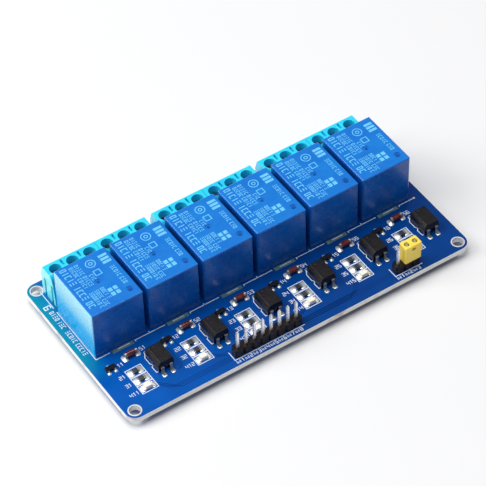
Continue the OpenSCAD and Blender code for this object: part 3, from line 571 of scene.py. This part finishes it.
def block_row(piece, x, y, length, height, low, high, seed):
    """Row of simple marks in word-like groups: upright bars, hollow boxes, open boxes and
    triple dashes. It starts at (x, y) and runs towards the front."""
    draw = random.Random(seed)
    wide, gap, line = 0.5 * height, 0.2 * height, 0.15 * height
    between_groups = 0.7 * wide
    at, since = 0.0, 0

    def lay(u0, u1, v0, v1):
        """One bar, from u0 to u1 along the row and from v0 to v1 across it."""
        corners = [(u0, v0), (u1, v0), (u1, v1), (u0, v1)]
        piece.prism([(x + v, y - u) for u, v in corners], low, high)

    while at + wide <= length:
        kind = draw.choice("iocec")
        if kind == "i":
            lay(at + wide / 2 - line / 2, at + wide / 2 + line / 2, 0, height)
        elif kind == "o":
            for u0, u1, v0, v1 in ((at, at + line, 0, height),
                                   (at + wide - line, at + wide, 0, height),
                                   (at + line, at + wide - line, 0, line),
                                   (at + line, at + wide - line, height - line, height)):
                lay(u0, u1, v0, v1)
        elif kind == "c":
            lay(at, at + line, 0, height)
            lay(at + line, at + wide, 0, line)
            lay(at + line, at + wide, height - line, height)
        else:
            for level in (0, 0.5, 1):
                v = level * (height - line)
                lay(at, at + wide, v, v + line)
        at += wide + gap
        since += 1
        if since >= draw.choice((4, 5, 6)):
            at += between_groups
            since = 0


# ---------- board dressing ----------

def hole_middles():
    """Middles of the four mounting holes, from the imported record's pattern."""
    mount = next(m for m in frame["record"]["mounts"] if m["name"] == "mounting_holes")
    x, y = mount["dims"]["spacing_x_mm"] / 2, mount["dims"]["spacing_y_mm"] / 2
    return [(sx * x, sy * y) for sx in (-1, 1) for sy in (-1, 1)]


def mounting_rings(materials, board):
    """Tinned lining of each mounting hole, with a rim on both faces."""
    bore, rim, skin = 1.55, 1.85, 0.035
    inside = bore - 0.04  # stands a little into the hole
    wall = bore + 0.01  # sinks a little into the board
    low, high = board.low.z, board.high.z
    profile = [(inside, low - skin), (rim, low - skin), (rim, low + HAIR), (wall, low + HAIR),
               (wall, high - HAIR), (rim, high - HAIR), (rim, high + skin), (inside, high + skin)]
    for k, (x, y) in enumerate(hole_middles(), 1):
        piece = Piece()
        piece.ring(x, y, profile, 48)
        piece.make(f"mounting_ring_{k}", materials["ring_tin"])


def nearest_relay(x):
    return min((node_box(f"relay_case_{i}") for i in CHANNELS), key=lambda b: abs(b.mid.x - x))


def chip_pads(materials, board):
    """Solder at both ends of each resistor and indicator, and at each diode's caps."""
    # Shift outwards, length, width, rise, peak and lean inwards
    light = (-0.1, 1.25, 2.1, 0.12, 0.2, 0.1)
    resistor = (0.45, 1.75, 2.25, 0.14, 0.2, 0.4)
    diode = (0.3, 1.55, 2.3, 0.16, 0.38, 0.4)
    diode_offset = Vector((0.2, -0.15))  # its middle from the relay's, its solder from the cap's
    same, mate_reach = 0.1, 3
    piece = Piece()

    def solder_end(x, y, side, shift, length, width, rise, peak, lean):
        piece.blob(x + side * shift, y, length, width, board.high.z, rise, peak, -side * lean)

    for chip in solid_boxes("led_bases"):
        for side in (-1, 1):
            solder_end(chip.mid.x + side * chip.size.x / 2, chip.mid.y, side, *light)
    ends = solid_boxes("resistor_ends")
    for end in ends:
        mate = next(o for o in ends if abs(o.mid.y - end.mid.y) < same
                    and same < abs(o.mid.x - end.mid.x) < mate_reach)
        solder_end(end.mid.x, end.mid.y, 1 if mate.mid.x < end.mid.x else -1, *resistor)
    for cap in solid_boxes("diode_caps"):
        middle = nearest_relay(cap.mid.x).mid.x + diode_offset.x
        solder_end(cap.mid.x, cap.mid.y + diode_offset.y, 1 if cap.mid.x > middle else -1, *diode)
    piece.make("chip_solder", materials["solder"], smooth=True)


def lead_pads(materials, board):
    """Solder round the feet of the optocouplers and transistors."""
    couplers = [node_box(f"optocoupler_{i}") for i in CHANNELS]
    under_toe = 0.3  # how far the pad's middle lies behind the lead's tip
    piece = Piece()
    # Leads, their bodies, and the solder's length, width, rise and peak
    for node, bodies, length, width, rise, peak in (
            ("optocoupler_leads", couplers, 1.2, 1.3, 0.05, 0.1),
            ("transistor_leads", solid_boxes("transistors"), 0.95, 1.05, 0.12, 0.2)):
        for lead in solid_boxes(node):
            body = min(bodies, key=lambda b: (b.mid - lead.mid).length)
            way = 1 if lead.mid.y > body.mid.y else -1
            tip = lead.high.y if way > 0 else lead.low.y
            piece.blob(lead.mid.x, tip - way * under_toe, length, width, board.high.z, rise, peak)
    piece.make("lead_solder", materials["solder"], smooth=True)


def underside_pads(materials, board):
    """Tinned ring round every solder cone beneath the board."""
    under, rim, skin = 0.15, 0.3, 0.04  # reach under the cone, reach round it, thickness
    piece = Piece()
    for cone in solid_boxes("solder_joints"):
        radius = cone.size.x / 2
        piece.washer(cone.mid.x, cone.mid.y, radius - under, radius + rim,
                     board.low.z - skin, board.low.z + HAIR)
    piece.make("underside_pads", materials["solder"])


def header_lane():
    """How far back, in y, the lane of tracks just behind the input header runs."""
    return node_box("input_header_strip").high.y + 0.8


def top_tracks(materials, board):
    """Copper under the mask: lanes from each channel's indicator to the input header, and short
    tracks between its parts."""
    low, high = board.high.z - 0.01, board.high.z + 0.02
    width, pitch, lines = 0.16, 0.62, 3
    beside, ahead = 2.7, 0.7  # where the first track starts, from the indicator
    next_channel = 8  # an indicator farther than this from the header takes the outer lanes
    piece = Piece()
    strip = node_box("input_header_strip")
    for light in solid_boxes("led_bases"):
        if strip.low.x < light.mid.x < strip.high.x:
            continue
        # Towards the header: 1 for the channels on its left and -1 for those on its right
        way = 1 if light.mid.x < strip.low.x else -1
        end = strip.low.x if way > 0 else strip.high.x
        first = lines if abs(end - light.mid.x) > next_channel else 0
        x = light.mid.x + way * beside
        for k in range(lines):
            lane = header_lane() - pitch * (k + first)
            start = light.low.y - ahead + pitch * k
            piece.stroke([(x, start), (x + way * abs(start - lane), lane),
                          (end + way * 0.5 * k, lane)], width, low, high)
    jog = 0.8
    for i in CHANNELS:
        relay, coupler = node_box(f"relay_case_{i}"), node_box(f"optocoupler_{i}")
        for k in range(lines - 1):
            x = coupler.high.x + jog / 2 + pitch * k
            piece.stroke([(x, coupler.low.y - 2 * jog), (x + jog, coupler.low.y - jog),
                          (x + jog, coupler.high.y + jog / 2)], width, low, high)
        x, y = relay.mid.x - 4.6, relay.low.y - 8.4
        piece.stroke([(x, y + 1.8), (x, y), (x + 0.9, y - 0.9)], width, low, high)
    piece.make("top_tracks", materials["masked_track"])


def underside_tracks(materials, board):
    """Copper beneath the board: wide lanes from the relays' contacts to the terminals, thin ones
    from their coils, and a supply lane with its branches."""
    low, high = board.low.z - 0.03, board.low.z + 0.01
    load, signal, supply = 1.7, 0.6, 1.2  # widths
    before_terminal = 2.2  # where a wide lane turns straight to its terminal
    jog = 2.0
    piece = Piece()
    joints = solid_boxes("solder_joints")
    for i in CHANNELS:
        relay, terminal = node_box(f"relay_case_{i}"), node_box(f"terminal_housing_{i}")
        pins = sorted((b for b in joints if terminal.low.x < b.mid.x < terminal.high.x
                       and b.mid.y > terminal.low.y), key=lambda b: b.mid.x)
        contacts = sorted((b for b in joints if relay.low.x < b.mid.x < relay.high.x
                           and relay.low.y < b.mid.y < relay.high.y), key=lambda b: b.mid.y)
        near, far = contacts[:3], contacts[3:]
        common = min(contacts, key=lambda b: abs(b.mid.x - relay.mid.x))
        outer = sorted((b for b in far if b is not common), key=lambda b: b.mid.x)
        for pin, contact in zip(pins, [outer[0], common, outer[-1]]):
            x0, y0, x1, y1 = contact.mid.x, contact.mid.y, pin.mid.x, pin.mid.y
            bend = y1 - before_terminal
            piece.stroke([(x0, y0), (x0, min(bend - 0.2, bend - abs(x1 - x0))), (x1, bend),
                          (x1, y1)], load, low, high)
        coils = sorted((b for b in near if b is not common), key=lambda b: b.mid.x)
        for side, coil in zip((-1, 1), (coils[0], coils[-1])):
            x, y = coil.mid.x, coil.mid.y
            inner = x - side * jog
            piece.stroke([(x, y), (x, relay.low.y - jog), (inner, relay.low.y - 2 * jog),
                          (inner, relay.low.y - 9)], signal, low, high)
    margin, branch = 6, 6.5
    y = header_lane() + 0.6
    piece.stroke([(board.low.x + margin, y), (board.high.x - margin, y)], supply, low, high)
    for i in CHANNELS:
        x = node_box(f"relay_case_{i}").mid.x + 3
        piece.stroke([(x, y), (x, y + branch)], signal, low, high)
    piece.make("underside_tracks", materials["masked_track"])


def silkscreen(materials, board):
    """White outlines, plain numbers and simple marks printed on the top of the board."""
    low, high = board.high.z + HAIR, board.high.z + SKIN
    piece = Piece()
    relays = [node_box(f"relay_case_{i}") for i in CHANNELS]
    row_outline(piece, relays, low, high)
    for i, relay in zip(CHANNELS, relays):
        channel_print(piece, relay, i, low, high)
    header_print(piece, low, high)
    # Row along the left edge, read from the back to the front
    x = board.low.x + 2.0
    number(piece, "6", x - 0.1, 17.3, 1.7, low, high, -90)
    for y, length, seed in ((15.6, 6.9, 4), (7.6, 9.8, 9)):
        block_row(piece, x - 0.65, y, length, 1.3, low, high, seed)
    piece.make("silkscreen", materials["silk"])


def row_outline(piece, relays, low, high):
    """Line round the left side and front of the relay row, broken at each diode."""
    front = relays[0].low.y - 0.6
    left = relays[0].low.x - 0.15
    # From each relay's left side: where the line stops, the dash behind the diode, and where
    # the line goes on
    stop, dash, resume = 3.9, (6.25, 9.7), 11.4
    piece.stroke([(left, relays[0].high.y), (left, front), (relays[0].low.x + stop, front)],
                 LINE, low, high)
    ends = [relay.low.x + stop for relay in relays[1:]] + [relays[-1].high.x + 1.0]
    for relay, end in zip(relays, ends):
        piece.stroke([(relay.low.x + x, front - 0.1) for x in dash], LINE, low, high)
        start = relay.low.x + resume
        piece.stroke([(start, front - 0.5), (start, front), (end, front)], LINE, low, high)
    # Little tick between neighbours, and the dot that ends the line
    for a, b in zip(relays, relays[1:]):
        x = (a.high.x + b.low.x) / 2
        piece.stroke([(x, front), (x, front + 0.55)], LINE, low, high)
    piece.washer(relays[-1].high.x + 1.2, front, 0.02, 0.3, low, high, 12)
    terminal = node_box("terminal_housing_1")
    piece.stroke([(left, terminal.low.y), (left, terminal.high.y)], LINE, low, high)


def channel_print(piece, relay, i, low, high):
    """Boxes round the chips of channel i, its optocoupler's outline and plain part numbers."""
    resistors = [b for b in solid_boxes("resistors") if abs(b.mid.x - relay.mid.x) < 4]
    led = min(solid_boxes("led_bases"), key=lambda b: abs(b.mid.x - relay.mid.x))
    half_x, half_y = 2.3, 1.38
    for chip in sorted(resistors + [led], key=lambda b: -b.mid.y):
        x0, x1 = chip.mid.x - half_x, chip.mid.x + half_x
        y0, y1 = chip.mid.y - half_y, chip.mid.y + half_y
        piece.stroke([(x0, y0), (x1, y0), (x1, y1), (x0, y1)], LINE, low, high, closed=True)
    # Outline along the optocoupler's left side, with the notch that marks the first lead
    coupler = node_box(f"optocoupler_{i}")
    x, y = coupler.low.x - 0.15, coupler.mid.y
    piece.stroke([(x + 1.05, y + 4.75), (x, y + 3.1), (x, y + 0.7), (x + 0.45, y),
                  (x - 0.15, y - 0.55), (x - 0.05, y - 2.6), (x + 0.9, y - 2.65)],
                 LINE, low, high)
    # Plain numbers beside the parts: from the relay's left side, y on the board, number
    for offset, y, text in ((3.95, -9.5, f"1{i}"), (2.15, -13.3, f"2{i}"),
                            (2.1, -16.4, f"3{i}"), (1.9, -19.55, f"41{i}"),
                            (11.5, -7.8, f"5{i}")):
        number(piece, text, relay.low.x + offset, y, 1.05, low, high)


def header_print(piece, low, high):
    """Corner lines in front of both headers, and pin numbers with upright bars between them."""
    tall, wide = 0.95, 0.14
    # Each bar: how far it stands before its number, in pitches, and how much shorter it is
    bars = ((0.3, 0), (0.42, 0.3), (0.58, 0.3), (0.7, 0))
    for node, pins in (("input_header_strip", 8), ("jumper_header_strip", 3)):
        strip = node_box(node)
        left, right, front = strip.low.x - 0.55, strip.high.x + 0.3, strip.low.y - 0.35
        piece.stroke([(left, strip.high.y + 0.2), (left, front), (right, front)],
                     LINE, low, high)
        pitch = strip.size.x / pins
        y = front - 0.8
        for p in range(pins):
            x = strip.low.x + pitch * (p + 0.5)
            number(piece, str(p + 1), x, y, tall, low, high, weight=0.2)
            for before, shorter in bars:
                middle = x - before * pitch
                piece.bar(middle - wide / 2, middle + wide / 2,
                          y - tall / 2, y + tall / 2 - shorter, low, high)


def bare_strips(materials, board):
    """Narrow windows in the solder mask behind the diodes."""
    x, y = (4.5, 10.8), (-1.4, -0.25)  # from the left front corner of the relay
    piece = Piece()
    for i in CHANNELS:
        relay = node_box(f"relay_case_{i}")
        piece.bar(relay.low.x + x[0], relay.low.x + x[1], relay.low.y + y[0], relay.low.y + y[1],
                  board.high.z + HAIR, board.high.z + 0.012)
    piece.make("bare_strips", materials["bare_laminate"])


# ---------- relay print ----------

# Rows of marks on a relay's top, from the back to the front: where each starts, as parts of the
# top's width and depth, then its length and height in millimetres
RELAY_ROWS = ((0.075, 0.95, 16.4, 1.85), (0.235, 0.92, 8.4, 1.15), (0.335, 0.92, 8.8, 1.15),
              (0.44, 0.66, 2.6, 1.1), (0.235, 0.38, 6.0, 1.15), (0.335, 0.38, 6.2, 1.15),
              (0.44, 0.38, 4.2, 1.1), (0.83, 0.64, 7.4, 1.2))
FIRST_ROW_SEED = 20


def relay_print(materials):
    """Light marks on each relay's top: rows of simple marks, two rings, a square, a grid and
    three bars. Beside them, on the two shallow round marks of the mould, are darker discs of
    painted shade."""
    for i in CHANNELS:
        relay = node_box(f"relay_case_{i}")
        low, high = relay.high.z + HAIR, relay.high.z + 0.02
        piece = Piece()

        def place(u, v):
            return relay.low.x + u * relay.size.x, relay.low.y + v * relay.size.y

        def patch(x, y, half_x, half_y):
            piece.bar(x - half_x, x + half_x, y - half_y, y + half_y, low, high)

        for seed, (u, v, length, height) in enumerate(RELAY_ROWS, FIRST_ROW_SEED):
            block_row(piece, *place(u, v), length, height, low, high, seed)
        x, y = place(0.60, 0.83)
        piece.washer(x, y, 1.15, 1.4, low, high, 28)
        piece.washer(x, y, 0.35, 0.6, low, high, 20)
        x, y = place(0.60, 0.645)
        half = 0.85
        piece.stroke([(x - half, y - half), (x + half, y - half), (x + half, y + half),
                      (x - half, y + half)], 0.25, low, high, closed=True)
        x, y = place(0.62, 0.24)
        for dx in (-0.75, 0.75):
            for dy in (-0.8, 0.8):
                patch(x + dx, y + dy, 0.55, 0.6)
        x, y = place(0.86, 0.81)
        for dy in (-1.2, 0, 1.2):
            patch(x, y + dy, 1.2, 0.42)
        piece.make(f"relay_print_{i}", materials["relay_ink"])
        marks = Piece()
        # Darker discs of painted shade on the mould's two shallow dimples
        for u, v, radius in ((0.85, 0.15, 0.6), (0.5, 0.5, 0.4)):
            marks.disc(*place(u, v), radius, low - 0.2, high - 0.008)
        marks.make(f"relay_shade_discs_{i}", materials["painted_dimple_shade"])


# ---------- stage ----------

def floor(part):
    """Pale sheet that the board lies on."""
    half = 3000.0
    mesh = bpy.data.meshes.new("floor")
    corners = [Vector((x * half, y * half, part.low.z)) * MM
               for x, y in ((-1, -1), (1, -1), (1, 1), (-1, 1))]
    mesh.from_pydata(corners, [], [(0, 1, 2, 3)])
    material, tree, shader = new_nodes("floor")
    shader.inputs["Roughness"].default_value = 0.6
    tree.links.new(blend_colours(tree, spread(tree, noise(tree, 120), 0, 1),
                                 (0.86, 0.857, 0.86, 1), (0.85, 0.848, 0.853, 1)),
                   shader.inputs["Base Color"])
    mesh.materials.append(material)
    sheet = bpy.data.objects.new("floor", mesh)
    bpy.context.scene.collection.objects.link(sheet)


def area_light(name, place, target, size, power):
    """Soft box of that size in millimetres and power in watts, which faces the target."""
    lamp = bpy.data.lights.new(name, "AREA")
    lamp.shape = "RECTANGLE"
    lamp.size, lamp.size_y = size[0] * MM, size[1] * MM
    lamp.energy = power
    holder = bpy.data.objects.new(name, lamp)
    bpy.context.scene.collection.objects.link(holder)
    holder.location = Vector(place) * MM
    holder.rotation_mode = "QUATERNION"
    holder.rotation_quaternion = (Vector(target) - Vector(place)).to_track_quat("-Z", "Y")


def lights(part):
    """Large key light from the back left, another overhead, and a dim, slightly cool room."""
    mid = part.mid
    area_light("key", (mid.x - 1050, mid.y + 520, 900), mid, (1000, 760), 11.8)
    area_light("overhead", (mid.x - 160, mid.y + 140, 1200), mid, (1000, 900), 11.6)
    world = bpy.data.worlds.new("studio")
    bpy.context.scene.world = world
    world.use_nodes = True
    background = world.node_tree.nodes["Background"]
    background.inputs["Color"].default_value = (0.95, 0.97, 1.0, 1)
    background.inputs["Strength"].default_value = 0.23


def camera():
    """The photograph's camera, solved with the parts whose sizes are standard."""
    azimuth, elevation, roll = (math.radians(a) for a in (32.38, 47.33, 1.69))
    target = Vector((1.694, 5.033, 5.0))
    distance, lens = 663.81, 189.376
    look = Vector((math.sin(azimuth) * math.cos(elevation),
                   math.cos(azimuth) * math.cos(elevation), -math.sin(elevation)))
    level = look.cross(Vector((0, 0, 1))).normalized()
    straight = level.cross(look)
    up = straight * math.cos(roll) + level * math.sin(roll)
    right = look.cross(up)
    data = bpy.data.cameras.new("camera")
    data.sensor_width, data.lens = 36.0, lens
    data.clip_start, data.clip_end = 0.05, 20.0
    holder = bpy.data.objects.new("camera", data)
    bpy.context.scene.collection.objects.link(holder)
    turn = Matrix((right, up, -look)).transposed().to_4x4()
    holder.matrix_world = Matrix.Translation((target - look * distance) * MM) @ turn
    bpy.context.scene.camera = holder


# ---------- everything ----------

part = Box(Vector(cad_box[0]) / MM, Vector(cad_box[1]) / MM)
board = node_box("circuit_board")
materials = make_materials(board)
dress_frame(materials)
mounting_rings(materials, board)
chip_pads(materials, board)
lead_pads(materials, board)
underside_pads(materials, board)
top_tracks(materials, board)
underside_tracks(materials, board)
silkscreen(materials, board)
bare_strips(materials, board)
relay_print(materials)
floor(part)
lights(part)
camera()
bpy.context.scene.view_settings.view_transform = "Standard"
